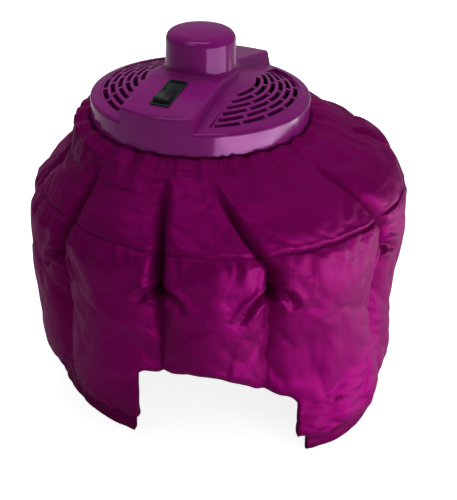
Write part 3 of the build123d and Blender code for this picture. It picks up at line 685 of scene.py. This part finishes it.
def lining():
    """Inner dome, a little slack, with the vents of the outlet left open."""
    cols = 240
    az = np.arange(cols) * 360.0 / cols
    rise = liner_crown - liner_spring
    path = [(h, liner_radius - 0.0006) for h in (0.0015, 0.02, 0.045, 0.075, liner_spring)]
    for angle in (12, 24, 36, 47, 57, 66, 74, 81, 86.5):
        a = math.radians(angle)
        path.append((liner_spring + rise * math.sin(a) * 0.999,
                     (liner_radius - 0.0006) * math.cos(a)))
    line = spline(path, 96)
    z = np.repeat(line[:, 0][:, None], cols, 1)
    r = np.repeat(line[:, 1][:, None], cols, 1)
    A = np.repeat(az[None], len(line), 0)
    slack = 0.0014 * polar_noise(A, 41, 22) + 0.0010 * polar_noise(A + 200 * z, 42, 34)
    r = r - 0.0012 + slack * smooth(r, 0.01, 0.05) + hem_flare(A) * (1 - smooth(z, 0.02, 0.13))
    z = z - 0.0010 + hem_lift(A) * (1 - smooth(z, 0.0, 0.08))
    x = r * np.sin(np.radians(A))
    y = -r * np.cos(np.radians(A))
    points = np.stack([x, y, z], 2)
    right_edge = np.interp(z, [0.016, 0.026],
                           [cuff_corner(cuff_ends[1] + 0.2, 0.0)[0], opening_x[1]])
    over = (x > opening_x[0]) & (x < right_edge) & (y < 0)
    cut = over & (z < arch_height(np.clip(x, *opening_x)) + 0.004)
    for vx, vy in vent_places():
        cut |= (np.hypot(x - vx, y - vy) < vent_reach) & (z > 0.15)
    skip = cut | np.roll(cut, -1, 1) | np.roll(cut, -1, 0) | np.roll(np.roll(cut, -1, 0), -1, 1)
    uv = np.stack([np.radians(A) * 0.12, z], 2)
    obj = grid_mesh("hood_lining", points, True, skip, uv)
    thicken(obj, 0.0006)
    return obj


def torus_part(name, centre, normal, major, minor, around=28, across=8):
    mesh = bpy.data.meshes.new(name)
    verts = []
    faces = []
    for i in range(around):
        u = 2 * math.pi * i / around
        for j in range(across):
            v = 2 * math.pi * j / across
            verts.append(((major + minor * math.cos(v)) * math.cos(u),
                          (major + minor * math.cos(v)) * math.sin(u), minor * math.sin(v)))
            here, after = i * across, (i + 1) % around * across
            k = (j + 1) % across
            faces.append((here + j, after + j, after + k, here + k))
    mesh.from_pydata(verts, [], faces)
    turn = Vector((0, 0, 1)).rotation_difference(Vector(normal)).to_matrix().to_4x4()
    mesh.transform(Matrix.Translation(Vector(centre)) @ turn)
    return mesh


def joined(name, meshes):
    tidy = bmesh.new()
    for mesh in meshes:
        tidy.from_mesh(mesh)
        bpy.data.meshes.remove(mesh)
    mesh = bpy.data.meshes.new(name)
    bmesh.ops.recalc_face_normals(tidy, faces=tidy.faces)
    tidy.to_mesh(mesh)
    tidy.free()
    return smooth_object(name, mesh)


def vent_rings(lining_obj):
    """Bound edges of the vents, laid on the lining."""
    graph = bpy.context.evaluated_depsgraph_get()
    shown = lining_obj.evaluated_get(graph)
    rings = []
    for vx, vy in vent_places():
        touched = []
        for turn in range(12):
            t = 2 * math.pi * turn / 12
            hit, place, _, _ = shown.ray_cast(
                Vector((vx + 0.0072 * math.cos(t), vy + 0.0072 * math.sin(t), 0.1)),
                Vector((0, 0, 1)))
            if hit:
                touched.append(place)
        centre = sum(touched, Vector()) / len(touched)
        normal = Vector((0, 0, 0))
        for here, after in zip(touched, touched[1:] + touched[:1]):
            normal += (here - centre).cross(after - centre)
        rings.append(torus_part("vent", centre, normal.normalized(), 0.0052, 0.0017))
    return joined("vent_rings", rings)


def cuff_corner(az, height):
    """Point on the inner side of an end of the cuff."""
    reach = float(cuff_line(np.array(az), 0.0016))
    turn = math.radians(az)
    return np.array([reach * math.sin(turn), -reach * math.cos(turn),
                     height + float(hem_lift(np.array(az)))])


def opening_band():
    """Cloth that turns in from the edge of the cover to the lining, round the face opening."""
    cols = cover_grid.shape[1]
    left, right = opening_sides
    rows = cover_grid.shape[0]
    outer = [cuff_corner(cuff_ends[0] - 0.4, z) for z in (0.0015, 0.0120, 0.0200)]
    for j in range(rows - 2, edge_row, -1):
        outer.append(cover_grid[j, left])
    i = left
    while i != right:
        outer.append(cover_grid[edge_row, i])
        i = (i + 1) % cols
    outer.append(cover_grid[edge_row, right])
    for j in range(edge_row + 1, rows - 1):
        outer.append(cover_grid[j, right])
    outer += [cuff_corner(cuff_ends[1] + 0.4, z) for z in (0.0200, 0.0120, 0.0015)]
    outer = np.array(outer)
    strip = []
    count = len(outer)
    reach = np.hypot(outer[:, 0], outer[:, 1])
    az = np.degrees(np.arctan2(outer[:, 0], -outer[:, 1]))
    inner_r = liner_radius - 0.0012 + hem_flare(az) * (1 - smooth(outer[:, 2], 0.02, 0.13))
    centre = np.array([0.004, 0.0, 0.030])
    waves = np.sin(np.arange(count) * 0.55) * 0.5 + np.sin(np.arange(count) * 0.31 + 1) * 0.5
    for t in np.linspace(0, 1, 11):
        bulge = 0.0016 * math.sin(math.pi * t) ** 0.8
        r = reach + (inner_r - reach) * t
        x = outer[:, 0]
        y = -np.sqrt(r**2 - x**2)
        z = outer[:, 2] + 0.003 * t
        inwards = np.stack([centre[0] - x, np.zeros(count), centre[2] - z], 1)
        inwards /= np.linalg.norm(inwards, axis=1)[:, None]
        wave = (1 + 0.35 * waves) * bulge
        strip.append(np.stack([x + inwards[:, 0] * wave, y, z + inwards[:, 2] * wave], 1))
    uv = np.stack(np.meshgrid(np.arange(count) * 0.0023, np.linspace(0, 0.03, 11)), 2)
    obj = grid_mesh("face_opening_band", np.array(strip), False, None, uv)
    subdivide(obj)
    thicken(obj, 0.0006, 0.0)
    return obj


def tapes():
    """Ten tapes from the lining to the tufts."""
    meshes = []
    for k, centre in enumerate(crease_az):
        a = math.radians(centre)
        out = Vector((math.sin(a), -math.cos(a), 0))
        side = Vector((math.cos(a), math.sin(a), 0))
        verts = []
        faces = []
        for i in range(9):
            t = i / 8
            r = tape_start + (tape_end - tape_start) * t
            sag = -0.0012 * math.sin(math.pi * t)
            for s in (-1, 1):
                turn = 0.35 * math.sin(math.pi * t) * (1 if k % 2 else -1)
                place = out * r + side * (s * tape_half * math.sin(turn))
                verts.append((place.x, place.y, tuft_z + s * tape_half * math.cos(turn) + sag))
            if i:
                faces.append((2 * i - 2, 2 * i - 1, 2 * i + 1, 2 * i))
        mesh = bpy.data.meshes.new("tape")
        mesh.from_pydata(verts, [], faces)
        meshes.append(mesh)
    obj = joined("tuft_tapes", meshes)
    thicken(obj, 0.0008, 0.0)
    return obj


def capsule(start, end, lift, radius, segments=6):
    """One stitch: a short thread that dips into the cloth at both ends."""
    a = Vector(start)
    b = Vector(end)
    up = Vector(lift)
    along = (b - a).normalized()
    side = along.cross(up).normalized()
    verts = []
    faces = []
    steps = 5
    for i in range(steps):
        t = i / (steps - 1)
        middle = a.lerp(b, t) + up * (math.sin(math.pi * t) * radius * 1.2 - radius * 0.5)
        size = radius * (0.45 + 0.55 * math.sin(math.pi * t))
        for j in range(segments):
            v = 2 * math.pi * j / segments
            verts.append(middle + side * (size * math.cos(v)) + up * (size * math.sin(v)))
        if i:
            base = (i - 1) * segments
            for j in range(segments):
                k = (j + 1) % segments
                faces.append((base + j, base + k, base + segments + k, base + segments + j))
    faces.append(tuple(range(segments)))
    faces.append(tuple(range((steps - 1) * segments, steps * segments)))
    mesh = bpy.data.meshes.new("stitch")
    mesh.from_pydata([tuple(v) for v in verts], [], faces)
    return mesh


def stitch_row(name, target, places, pitch, length, radius):
    """Stitches laid on the target along a line of (origin, direction) rays."""
    shown = target.evaluated_get(bpy.context.evaluated_depsgraph_get())
    line = []
    for origin, direction in places:
        hit, place, normal, _ = shown.ray_cast(Vector(origin), Vector(direction))
        if hit:
            if normal.dot(Vector(direction)) > 0:
                normal = -normal
            line.append((place.copy(), normal.copy()))
    meshes = []
    travelled = 0.0
    next_start = 0.0
    start = None
    for (p, _), (q, m) in zip(line, line[1:]):
        step = (q - p).length
        if step > 0.01:
            start = None
            travelled = next_start
            continue
        travelled += step
        if start is None and travelled >= next_start:
            start = q
            begun = travelled
        elif start is not None and travelled - begun >= length:
            meshes.append(capsule(start, q, m, radius))
            start = None
            next_start = begun + pitch
    return joined(name, meshes)


def ring_rays(height, az_from, az_to, step, centre=0.0, slope=0.0):
    """Rays towards the axis from all round the hood."""
    rays = []
    az = az_from
    while az <= az_to:
        a = math.radians(az)
        out = Vector((math.sin(a), -math.cos(a), slope)).normalized()
        at = Vector((centre, 0, height)) + out * ray_reach
        rays.append((at, -out))
        az += step
    return rays


# ------------------------------------------------------------------ materials
def blank(name):
    material = bpy.data.materials.new(name)
    material.use_nodes = True
    tree = material.node_tree
    return material, tree, tree.nodes["Principled BSDF"]


def node(tree, kind, **values):
    item = tree.nodes.new(kind)
    for key, value in values.items():
        if hasattr(item, key):
            setattr(item, key, value)
        else:
            item.inputs[key].default_value = value
    return item


def ramp(tree, source, stops):
    item = tree.nodes.new("ShaderNodeValToRGB")
    while len(item.color_ramp.elements) < len(stops):
        item.color_ramp.elements.new(0.5)
    for element, (place, colour) in zip(item.color_ramp.elements, stops):
        element.position = place
        element.color = (*colour, 1.0)
    tree.links.new(source, item.inputs["Fac"])
    return item.outputs["Color"]


def noise_out(tree, vector, scale, detail=4.0, rough=0.55, distort=0.0):
    item = node(tree, "ShaderNodeTexNoise", Scale=scale, Detail=detail, Roughness=rough,
                Distortion=distort)
    if vector is not None:
        tree.links.new(vector, item.inputs["Vector"])
    return item.outputs["Fac"]


def bump(tree, height, strength, distance, before=None):
    item = node(tree, "ShaderNodeBump", Strength=strength, Distance=distance)
    tree.links.new(height, item.inputs["Height"])
    if before is not None:
        tree.links.new(before, item.inputs["Normal"])
    return item.outputs["Normal"]


def maths(tree, operation, a, b):
    item = tree.nodes.new("ShaderNodeMath")
    item.operation = operation
    for socket, value in zip(item.inputs, (a, b)):
        if isinstance(value, (int, float)):
            socket.default_value = value
        else:
            tree.links.new(value, socket)
    return item.outputs[0]


def multiply(tree, a, b):
    """Product of two colours."""
    item = tree.nodes.new("ShaderNodeMix")
    item.data_type = "RGBA"
    item.blend_type = "MULTIPLY"
    item.inputs["Factor"].default_value = 1.0
    tree.links.new(a, item.inputs["A"])
    tree.links.new(b, item.inputs["B"])
    return item.outputs["Result"]


def camera_only(tree, plain, seen):
    """Shows one shader to the camera and the plain one to every other ray."""
    path = tree.nodes.new("ShaderNodeLightPath")
    mixer = tree.nodes.new("ShaderNodeMixShader")
    tree.links.new(path.outputs["Is Camera Ray"], mixer.inputs["Fac"])
    tree.links.new(plain, mixer.inputs[1])
    tree.links.new(seen, mixer.inputs[2])
    return mixer.outputs["Shader"]


def satin(name, dark, light, roughness, sheen, weave, crinkle, gleam):
    """Woven nylon: two wave textures for warp and weft, soft crinkles, colour drift and painted
    shade in the creases.
    """
    material, tree, shader = blank(name)
    place = tree.nodes.new("ShaderNodeTexCoord")
    drift = noise_out(tree, place.outputs["Object"], 9.0, 3.0, 0.6)
    colour = ramp(tree, drift, [(0.30, dark), (0.72, light)])
    threads = []
    for direction in ("X", "Y"):
        wave = tree.nodes.new("ShaderNodeTexWave")
        wave.bands_direction = direction
        wave.inputs["Scale"].default_value = 0.314 / weave
        wave.inputs["Distortion"].default_value = 0.6
        wave.inputs["Detail Scale"].default_value = 60.0
        tree.links.new(place.outputs["UV"], wave.inputs["Vector"])
        threads.append(wave.outputs["Fac"])
    weft = maths(tree, "MULTIPLY", threads[1], 0.6)
    cloth = maths(tree, "ADD", threads[0], weft)
    between = ramp(tree, cloth, [(0.2, (0.80, 0.80, 0.84)), (1.0, (1.0, 1.0, 1.0))])
    woven = multiply(tree, colour, between)
    # painted shade: the base colour is darkened where the cloth curves inwards, in its creases and
    # folds
    geometry = tree.nodes.new("ShaderNodeNewGeometry")
    painted_crease_shade = ramp(tree, geometry.outputs["Pointiness"],
                  [(0.38, (0.16, 0.14, 0.20)), (0.485, (1.0, 1.0, 1.0))])
    tree.links.new(multiply(tree, woven, painted_crease_shade), shader.inputs["Base Color"])
    wrinkle = tree.nodes.new("ShaderNodeMapping")
    wrinkle.inputs["Rotation"].default_value = (0.0, 0.0, 0.7)
    wrinkle.inputs["Scale"].default_value = (1.0, 0.45, 1.0)
    tree.links.new(place.outputs["UV"], wrinkle.inputs["Vector"])
    soft = bump(tree, noise_out(tree, wrinkle.outputs["Vector"], 70.0, 4.0, 0.55, 1.2),
                crinkle * 2.0, 0.0022)
    folds = bump(tree, noise_out(tree, place.outputs["Object"], 160.0, 4.0, 0.6, 0.6),
                 crinkle, 0.0010, soft)
    fine = bump(tree, cloth, 0.25, 0.00012, folds)
    tree.links.new(fine, shader.inputs["Normal"])
    gloss = ramp(tree, noise_out(tree, place.outputs["Object"], 30.0, 2.0),
                 [(0.3, (roughness - 0.05,) * 3), (0.7, (roughness + 0.07,) * 3)])
    tree.links.new(gloss, shader.inputs["Roughness"])
    shader.inputs["Metallic"].default_value = gleam
    shader.inputs["Specular IOR Level"].default_value = 0.12
    shader.inputs["Specular Tint"].default_value = (0.90, 0.10, 0.70, 1.0)
    shader.inputs["Sheen Weight"].default_value = sheen
    shader.inputs["Sheen Roughness"].default_value = 0.40
    shader.inputs["Sheen Tint"].default_value = (0.70, 0.02, 0.45, 1.0)
    return material


def plastic(name, colour, roughness, coat, grain=0.05, wear=(1.25, 1.2, 1.25), metal=0.0,
            gleam=(1.0, 1.0, 1.0)):
    """Moulded part: slight colour drift, fine grain, paler worn edges, uneven gloss."""
    material, tree, shader = blank(name)
    place = tree.nodes.new("ShaderNodeTexCoord")
    drift = noise_out(tree, place.outputs["Object"], 14.0, 3.0)
    low = tuple(c * 0.93 for c in colour)
    high = tuple(min(c * 1.06, 1.0) for c in colour)
    base = ramp(tree, drift, [(0.3, low), (0.7, high)])
    edge = tree.nodes.new("ShaderNodeNewGeometry")
    worn = ramp(tree, edge.outputs["Pointiness"], [(0.52, (0.0,) * 3), (0.60, (1.0,) * 3)])
    mix = tree.nodes.new("ShaderNodeMix")
    mix.data_type = "RGBA"
    tree.links.new(maths(tree, "MULTIPLY", worn, 0.45), mix.inputs["Factor"])
    tree.links.new(base, mix.inputs["A"])
    mix.inputs["B"].default_value = (*[min(c * k + 0.01, 1) for c, k in zip(colour, wear)], 1.0)
    tree.links.new(mix.outputs["Result"], shader.inputs["Base Color"])
    rough = ramp(tree, noise_out(tree, place.outputs["Object"], 45.0, 5.0, 0.65),
                 [(0.30, (roughness * 0.85,) * 3), (0.75, (roughness * 1.35,) * 3)])
    tree.links.new(rough, shader.inputs["Roughness"])
    texture = bump(tree, noise_out(tree, place.outputs["Object"], 1400.0, 2.0), grain, 0.0001)
    tree.links.new(texture, shader.inputs["Normal"])
    shader.inputs["Metallic"].default_value = metal
    shader.inputs["Specular Tint"].default_value = (*gleam, 1.0)
    shader.inputs["Coat Weight"].default_value = coat
    shader.inputs["Coat Roughness"].default_value = 0.08
    return material


plum = (0.250, 0.008, 0.185)
materials = {
    "hood_fabric": satin("hood_satin", (0.190, 0.0010, 0.088), (0.275, 0.0016, 0.142),
                         0.43, 0.05, 0.0005, 0.22, 0.30),
    # painted shade: the cuff satin is a darker, slightly redder copy of the hood satin; its
    # darkness stands in for the shade on the hem, which faces down
    "cuff_fabric": satin("cuff_satin_painted_shade", (0.150, 0.0008, 0.065), (0.215, 0.0012, 0.105),
                         0.48, 0.06, 0.0005, 0.35, 0.22),
    "liner_fabric": satin("lining_cloth", (0.085, 0.0030, 0.060), (0.120, 0.0045, 0.085),
                          0.62, 0.15, 0.0007, 0.22, 0.0),
    "elastic_band": satin("elastic_weave", (0.030, 0.010, 0.025), (0.050, 0.015, 0.040),
                          0.75, 0.10, 0.0012, 0.10, 0.0),
    "thread": satin("plum_thread", (0.120, 0.0030, 0.070), (0.200, 0.010, 0.125),
                    0.45, 0.20, 0.0003, 0.10, 0.2),
    "housing_plastic": plastic("plum_plastic", plum, 0.15, 0.20, gleam=(1.0, 0.30, 1.0)),
    "guard_plastic": plastic("dark_heatproof_plastic", (0.018, 0.016, 0.020), 0.42, 0.0, 0.12),
    "fan_plastic": plastic("fan_plastic", (0.045, 0.045, 0.050), 0.38, 0.0, 0.08),
    "switch_black": plastic("switch_plastic", (0.006, 0.020, 0.013), 0.20, 0.25, 0.05,
                            (2.2, 1.8, 1.9)),
    "black_rubber": plastic("black_rubber", (0.014, 0.013, 0.015), 0.62, 0.0, 0.20),
    "steel": plastic("zinc_steel", (0.52, 0.52, 0.53), 0.34, 0.0, 0.10, (1.2, 1.2, 1.2), 1.0),
    "bronze": plastic("bronze", (0.48, 0.27, 0.10), 0.36, 0.0, 0.10, (1.2, 1.2, 1.2), 1.0),
    "mica": plastic("mica_sheet", (0.42, 0.36, 0.27), 0.35, 0.2, 0.25),
    "heater_ribbon": plastic("heater_ribbon", (0.30, 0.27, 0.25), 0.40, 0.0, 0.15,
                             (1.3, 1.2, 1.1), 1.0),
    "thermostat_body": plastic("thermostat_body", (0.40, 0.36, 0.30), 0.45, 0.0, 0.10),
    "wire_insulation": plastic("wire_insulation", (0.030, 0.027, 0.030), 0.45, 0.0, 0.06),
}


def paint(obj, slot):
    """Gives every material slot of an object the material for that slot of the record."""
    if not obj.data.materials:
        obj.data.materials.append(materials[slot])
    for place in obj.material_slots:
        place.material = materials[slot]


node_slots = {
    "housing_plastic": ["top_housing", "base_housing"],
    "guard_plastic": ["outlet_guard", "fan_duct", "motor_end_cap"],
    "fan_plastic": ["impeller"],
    "switch_black": ["switch_body", "rocker_button"],
    "black_rubber": ["cord_gland"],
    "steel": ["housing_screws", "motor_bracket", "motor_screws", "motor_can", "motor_shaft",
              "thermal_fuse"],
    "bronze": ["motor_bushes", "heater_terminals", "switch_terminals"],
    "mica": ["mica_frame"],
    "heater_ribbon": ["heater_element"],
    "thermostat_body": ["thermostat"],
    "wire_insulation": ["lead_wires"],
}
for slot_name, node_names in node_slots.items():
    for node_name in node_names:
        paint(frame["nodes"][node_name], slot_name)

# ------------------------------------------------------------------ pieces
casing = collar()
band_elastic = elastic()
cuff_band = cuff()
lining_obj = lining()
rings = vent_rings(lining_obj)
opening = opening_band()
tape_obj = tapes()

collar_stitches = stitch_row(
    "collar_stitching", cover, ring_rays(collar_top - 0.0090, 0, 360, 0.25, axis_x),
    0.0042, stitch_length, 0.00032)
seam_stitches = stitch_row(
    "yoke_stitching", cover, ring_rays(seam_z + 0.0052, 0, 360, 0.2, 0.0, 0.7),
    0.0040, stitch_length, 0.00030)
cuff_stitches = stitch_row(
    "cuff_stitching", cuff_band,
    ring_rays(0.0118, opening_az[1] + 1.5, 360 + opening_az[0] - 1.5, 0.25),
    0.0042, stitch_length, 0.00030)

soft_pieces = [
    (cover, "hood_fabric", ("hood_yoke", "hood_body")),
    (casing, "hood_fabric", ("hood_collar",)),
    (band_elastic, "elastic_band", ("collar_elastic",)),
    (cuff_band, "cuff_fabric", ("hem_cuff",)),
    (lining_obj, "liner_fabric", ("hood_liner",)),
    (opening, "cuff_fabric", ("face_band",)),
    (tape_obj, "liner_fabric", ("tether_tapes",)),
    (rings, "liner_fabric", ()),
]
for piece, slot_name, replaced in soft_pieces:
    paint(piece, slot_name)
    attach(piece, "hood")
    if replaced:
        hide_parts(*replaced)
for piece in (collar_stitches, seam_stitches, cuff_stitches):
    piece.data.materials.append(materials["thread"])
    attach(piece, "hood")


# ------------------------------------------------------------------ floor, light, camera
floor_glow = 0.86           # whitens the floor for the camera alone


def floor_material():
    """Pale floor; to the camera it is lit up to white, less where the object shades it."""
    material, tree, shader = blank("pale_floor")
    place = tree.nodes.new("ShaderNodeTexCoord")
    tint = ramp(tree, noise_out(tree, place.outputs["Object"], 6.0, 3.0),
                [(0.3, (0.80, 0.80, 0.80)), (0.7, (0.83, 0.83, 0.83))])
    tree.links.new(tint, shader.inputs["Base Color"])
    shader.inputs["Roughness"].default_value = 0.85
    shader.inputs["Specular IOR Level"].default_value = 0.2
    glow = node(tree, "ShaderNodeEmission", Strength=floor_glow)
    add = tree.nodes.new("ShaderNodeAddShader")
    tree.links.new(shader.outputs["BSDF"], add.inputs[0])
    tree.links.new(glow.outputs["Emission"], add.inputs[1])
    shown = camera_only(tree, shader.outputs["BSDF"], add.outputs["Shader"])
    tree.links.new(shown, tree.nodes["Material Output"].inputs["Surface"])
    return material


floor_mesh = bpy.data.meshes.new("floor")
floor_mesh.from_pydata([(-6, -6, 0), (6, -6, 0), (6, 6, 0), (-6, 6, 0)], [], [(0, 1, 2, 3)])
floor = linked("floor", floor_mesh)
floor.data.materials.append(floor_material())


def area_light(name, place, target, width, height, power, unseen=()):
    """Lamp turned to its target; unseen names the kinds of ray that miss it."""
    data = bpy.data.lights.new(name, "AREA")
    data.shape = "RECTANGLE"
    data.size = width
    data.size_y = height
    data.energy = power
    obj = linked(name, data)
    obj.location = place
    obj.rotation_euler = (Vector(target) - Vector(place)).to_track_quat("-Z", "Y").to_euler()
    for kind in ("camera", *unseen):
        setattr(obj, "visible_" + kind, False)


area_light("key_right", (0.47, -0.35, 0.14), (0.0, 0.0, 0.24), 0.80, 0.24, 1.7)
area_light("strip_left", (-0.55, -0.75, 0.95), (0.0, 0.0, 0.30), 0.50, 0.10, 0.8)
area_light("card_right", (0.37, -0.18, 0.05), (0.0, 0.0, 0.25), 0.98, 0.16, 1.7, ["diffuse"])
area_light("strip_top", (-0.08, -0.42, 1.15), (0.0, 0.0, 0.30), 0.90, 0.16, 1.8, ["diffuse"])
area_light("fill_back", (-0.10, 1.20, 0.55), (0.0, 0.0, 0.15), 0.90, 0.60, 5.0, ["glossy"])
area_light("overhead", (0.15, 0.30, 1.35), (0.0, 0.0, 0.25), 1.2, 1.2, 9.0, ["glossy"])

world = bpy.data.worlds.new("studio")
scene.world = world
world.use_nodes = True
tree = world.node_tree
tree.nodes.clear()
output = tree.nodes.new("ShaderNodeOutputWorld")
dim = node(tree, "ShaderNodeBackground", Strength=0.14, Color=(1, 1, 1, 1))
bright = node(tree, "ShaderNodeBackground", Strength=1.0, Color=(1, 1, 1, 1))
backdrop = camera_only(tree, dim.outputs["Background"], bright.outputs["Background"])
tree.links.new(backdrop, output.inputs["Surface"])

camera_data = bpy.data.cameras.new("camera")
camera_data.lens = 80.0
camera_data.sensor_width = 36.0
camera_data.clip_start = 0.05
camera = linked("camera", camera_data)
camera.location = (0.015, -0.9514, 0.6508)
camera.rotation_euler = (
    Matrix.Rotation(math.radians(90 - 29.13), 3, "X") @ Matrix.Rotation(math.radians(1.08), 3, "Z")
).to_euler()
scene.camera = camera
scene.view_settings.view_transform = "Standard"
